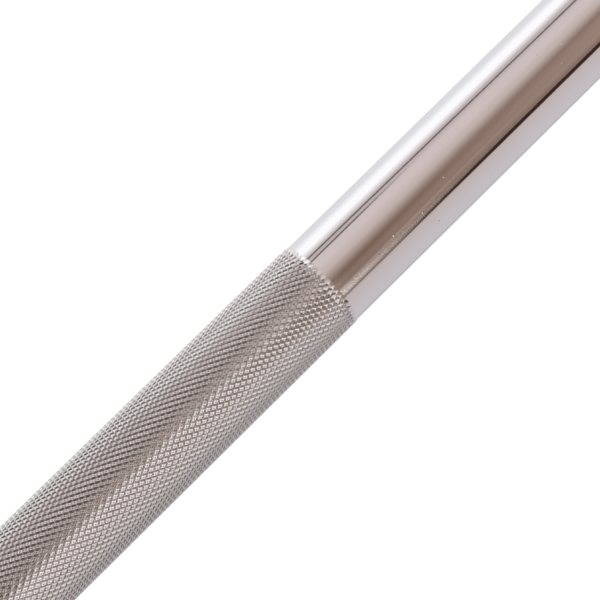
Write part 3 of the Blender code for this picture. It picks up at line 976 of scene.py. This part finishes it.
def run_out(mesh, start, end):
    """Ends the knurl in teeth that stand on the bar, and closes the tube with a bore and two end rings."""
    shape = bmesh.new()
    shape.from_mesh(mesh)
    tips = [v for v in shape.verts if min(abs(v.co.x - start), abs(v.co.x - end)) < TIP_REACH]
    for path in [rim_path(tip, tips) for tip in tips]:
        for corner in path:
            set_radius(corner, SHAFT_RADIUS)
        for first, second in zip(path[1:], path[2:]):
            shape.faces.new((path[0], first, second))
    rims = [tuple(edge.verts) for edge in shape.edges if edge.is_boundary]
    corners = dict.fromkeys(corner for rim in rims for corner in rim)
    inner = {corner: shape.verts.new(corner.co) for corner in corners}
    for corner in inner.values():
        set_radius(corner, knurl_bore())
    for first, second in rims:
        shape.faces.new((first, second, inner[second], inner[first]))
    bore_rims = [edge for edge in shape.edges if edge.is_boundary]
    bmesh.ops.bridge_loops(shape, edges=bore_rims)
    shape.to_mesh(mesh)
    shape.free()
    return finished(mesh, KNURL_CREASE)


def build_knurls(material):
    """The two knurled grips, as real rolled diamonds."""
    low, high = knurl_reach()
    halves = round((high - low) / (KNURL_PITCH / 2))
    diamond = 2 * (high - low) / halves
    tile = knurl_tile(diamond)
    tree = knurl_tree(material)
    values = {
        "Tile": tile,
        "Radius": SHAFT_RADIUS,
        "Diamond length": diamond,
        "Rows": halves - 1,
        "Starts": KNURL_STARTS,
    }
    for side, start, end in (("right", low, high), ("left", -high, -low)):
        sheet = rolled_sheet(tree, {**values, "Start": start + diamond / 2})
        add_piece(f"{side}_knurl", run_out(sheet, start, end), material, "shaft_chrome")
    bpy.data.objects.remove(tile)


# Heads, all drawn at +X


def drill_mesh(x, radius, length):
    """A cylinder along Z that cuts a cross hole."""
    shape = bmesh.new()
    bmesh.ops.create_cone(
        shape, cap_ends=True, segments=SMALL_SEGMENTS, radius1=radius, radius2=radius, depth=length
    )
    mesh = bpy.data.meshes.new("drill")
    shape.to_mesh(mesh)
    shape.free()
    mesh.transform(Matrix.Translation((x, 0, 0)))
    return mesh


def collar_mesh():
    """The inner collar: a hub that laps the shaft, a flange, and a hole across the hub for the spring pin."""
    low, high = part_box("right_inner_collar")
    step_x = low.x + COLLAR_LAP
    flange_x = high.x - FLANGE_THICKNESS
    over_shaft = SHAFT_RADIUS + FIT_GAP
    bore = SPIGOT_RADIUS + FIT_GAP
    corners = [
        (low.x, over_shaft, BREAK_EDGE),
        (low.x, HUB_RADIUS, TURNED_EDGE),
        (flange_x, HUB_RADIUS, COLLAR_FILLET),
        (flange_x, high.z, TURNED_EDGE),
        (high.x, high.z, BREAK_EDGE),
        (high.x, bore, BREAK_EDGE),
        (step_x, bore, 0),
        (step_x, over_shaft, 0),
    ]
    pin_low, pin_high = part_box("right_collar_pin")
    drill = drill_mesh((pin_low.x + pin_high.x) / 2, PIN_RADIUS + FIT_GAP, 4 * HUB_RADIUS)
    return carved(turned(rounded(corners), ROUND_SEGMENTS, closed=True), [drill])


def pin_mesh():
    """A rolled spring pin along Z: a tube with a slot down its side and chamfered ends."""
    low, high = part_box("right_collar_pin")
    centre_x = (low.x + high.x) / 2
    half = [
        (PIN_RADIUS, high.z - 2 * PIN_CHAMFER),
        (PIN_RADIUS - PIN_CHAMFER, high.z),
        (PIN_RADIUS - PIN_WALL, high.z),
    ]
    section = half + [(r, -z) for r, z in reversed(half)]
    slot_angle = PIN_SLOT / PIN_RADIUS
    sections = []
    for step in range(SMALL_SEGMENTS + 1):
        angle = slot_angle / 2 + (math.tau - slot_angle) * step / SMALL_SEGMENTS
        sections.append([(centre_x + r * math.cos(angle), r * math.sin(angle), z) for r, z in section])
    return swept(sections)


def cover_mesh(solid, core_radius, core_thickness, corner, dish):
    """A plate's moulded rubber: a shell round the iron, open at the hub, with a groove round its tread."""
    low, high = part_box(solid)
    cavity_x = core_thickness / 2 + FIT_GAP
    face_x = (high.x - low.x) / 2
    half = [
        (SEAM_WIDTH / 2, high.z, 0),
        (face_x, high.z, corner),
        *dish,
        (face_x, PLATE_OPENING_RADIUS, RUBBER_EDGE),
        (cavity_x, PLATE_OPENING_RADIUS, 0),
        (cavity_x, core_radius + FIT_GAP, 0),
    ]
    seam = [(0, high.z - SEAM_DEPTH, 0)]
    corners = moved(both_sides(half, seam), (high.x + low.x) / 2)
    return turned(rounded(corners), ROUND_SEGMENTS, closed=True)


def large_dish():
    """The shallow ring sunk into each face of the large plate, from its outer edge to its inner one."""
    low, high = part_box("right_large_plate_cover")
    face_x = (high.x - low.x) / 2
    floor_x = face_x - LARGE_DISH_DEPTH
    return [
        (face_x, LARGE_DISH_OUTER_RADIUS, DISH_EDGE),
        (floor_x, LARGE_DISH_OUTER_RADIUS - LARGE_DISH_DEPTH, DISH_EDGE),
        (floor_x, LARGE_DISH_INNER_RADIUS + LARGE_DISH_DEPTH, DISH_EDGE),
        (face_x, LARGE_DISH_INNER_RADIUS, DISH_EDGE),
    ]


def cap_mesh():
    """The end cap: a socket over the spigot, a web under the screw, and a recess round the screw's head."""
    low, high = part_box("right_end_cap")
    socket = SPIGOT_RADIUS + FIT_GAP
    socket_x = low.x + CAP_SOCKET_DEPTH
    web_x = socket_x + CAP_WEB
    clearance = SCREW_RADIUS + SCREW_CLEARANCE
    corners = [
        (low.x, socket, BREAK_EDGE),
        (low.x, high.z, TURNED_EDGE),
        (high.x, high.z, CAP_CORNER),
        (high.x, CAP_RECESS_RADIUS, TURNED_EDGE),
        (web_x, CAP_RECESS_RADIUS, BREAK_EDGE),
        (web_x, clearance, 0),
        (socket_x, clearance, 0),
        (socket_x, socket, 0),
    ]
    return turned(rounded(corners), ROUND_SEGMENTS, closed=True)


def washer_outline(solid):
    """The wire or strip of a washer, with eased corners."""
    low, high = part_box(solid)
    sides = ((low.x, WASHER_BORE_RADIUS), (low.x, high.z), (high.x, high.z), (high.x, WASHER_BORE_RADIUS))
    return rounded([(x, r, WASHER_EDGE) for x, r in sides])


def plain_washer_mesh():
    return turned(washer_outline("right_plain_washer"), SMALL_SEGMENTS, closed=True)


def lock_washer_mesh():
    """A spring washer clamped flat: one turn of square wire, cut through on a slant."""
    low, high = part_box("right_lock_washer")
    outline = washer_outline("right_lock_washer")
    sections = []
    for step in range(SMALL_SEGMENTS + 1):
        section = []
        for x, r in outline:
            slant = LOCK_WASHER_SLANT * ((x - low.x) / (high.x - low.x) - 0.5)
            first = (LOCK_WASHER_GAP / 2 + slant) / high.z
            last = math.tau - (LOCK_WASHER_GAP / 2 - slant) / high.z
            angle = first + (last - first) * step / SMALL_SEGMENTS
            section.append((x, r * math.sin(angle), r * math.cos(angle)))
        sections.append(section)
    return swept(sections)


def screw_mesh():
    """The socket head screw, its hexagon socket countersunk at the mouth and drilled to a point."""
    low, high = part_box("right_end_screw")
    under_head = high.x - SCREW_HEAD_HEIGHT
    corners = [
        (low.x, 0, 0),
        (low.x, SCREW_RADIUS - SCREW_EDGE, 0),
        (low.x + SCREW_EDGE, SCREW_RADIUS, 0),
        (under_head, SCREW_RADIUS, BREAK_EDGE),
        (under_head, high.z, BREAK_EDGE),
        (high.x, high.z, SCREW_EDGE),
        (high.x, 0, 0),
    ]
    body = turned(rounded(corners), SMALL_SEGMENTS, closed=False)
    corner_radius = KEY_WIDTH / math.sqrt(3)
    floor_x = high.x - KEY_DEPTH
    past = high.x + KEY_DEPTH
    point_x = floor_x - corner_radius / 2
    key_outline = [(point_x, 0), (floor_x, corner_radius), (past, corner_radius), (past, 0)]
    key = turned(key_outline, 6, closed=False, first_angle=math.pi / 6)
    mouth_outline = [(high.x - corner_radius, 0), (past, corner_radius + KEY_DEPTH), (past, 0)]
    mouth = turned(mouth_outline, SMALL_SEGMENTS, closed=False)
    return carved(body, [key, mouth])


def build_heads(materials):
    """Every piece of both ends. The left end is the right one turned half round about Z."""
    large_cover = cover_mesh(
        "right_large_plate_cover", LARGE_CORE_RADIUS, LARGE_CORE_THICKNESS, LARGE_CORNER, large_dish()
    )
    small_cover = cover_mesh(
        "right_small_plate_cover", SMALL_CORE_RADIUS, SMALL_CORE_THICKNESS, SMALL_CORNER, []
    )
    pieces = (
        ("inner_collar", collar_mesh(), "turned_chrome", "collar_chrome"),
        ("collar_pin", pin_mesh(), "spring_steel", "spring_steel"),
        ("large_plate_cover", large_cover, "rubber", "plate_rubber"),
        ("small_plate_cover", small_cover, "rubber", "plate_rubber"),
        ("end_cap", cap_mesh(), "turned_chrome", "collar_chrome"),
        ("plain_washer", plain_washer_mesh(), "zinc_steel", "screw_steel"),
        ("lock_washer", lock_washer_mesh(), "spring_steel", "spring_steel"),
        ("end_screw", screw_mesh(), "zinc_steel", "screw_steel"),
    )
    for name, mesh, material, slot in pieces:
        left = mesh.copy()
        left.transform(Matrix.Rotation(math.pi, 4, "Z"))
        add_piece(f"right_{name}_body", mesh, materials[material], slot, f"right_{name}")
        add_piece(f"left_{name}_body", left, materials[material], slot, f"left_{name}")
    for side in ("right", "left"):
        for plate in ("large", "small"):
            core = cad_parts[f"{side}_{plate}_plate_core"]
            core.data.materials.clear()
            core.data.materials.append(materials["iron"])


def main():
    bpy.context.scene.view_settings.view_transform = "Standard"
    build_camera()
    build_world()
    build_lamp()
    build_floor(cad_box[0].z)
    materials = {
        "turned_chrome": turned_metal("turned_chrome", COLLAR_CHROME, roughness=0.12, ring_strength=0.25),
        "zinc_steel": turned_metal("zinc_steel", ZINC, roughness=0.28, ring_strength=0.4),
        "spring_steel": turned_metal("spring_steel", SPRING_STEEL, roughness=0.38, ring_strength=0.4),
        "rubber": moulded_rubber(),
        "iron": primed_iron(),
    }
    build_shaft(polished_chrome())
    build_knurls(knurled_chrome())
    build_heads(materials)


main()
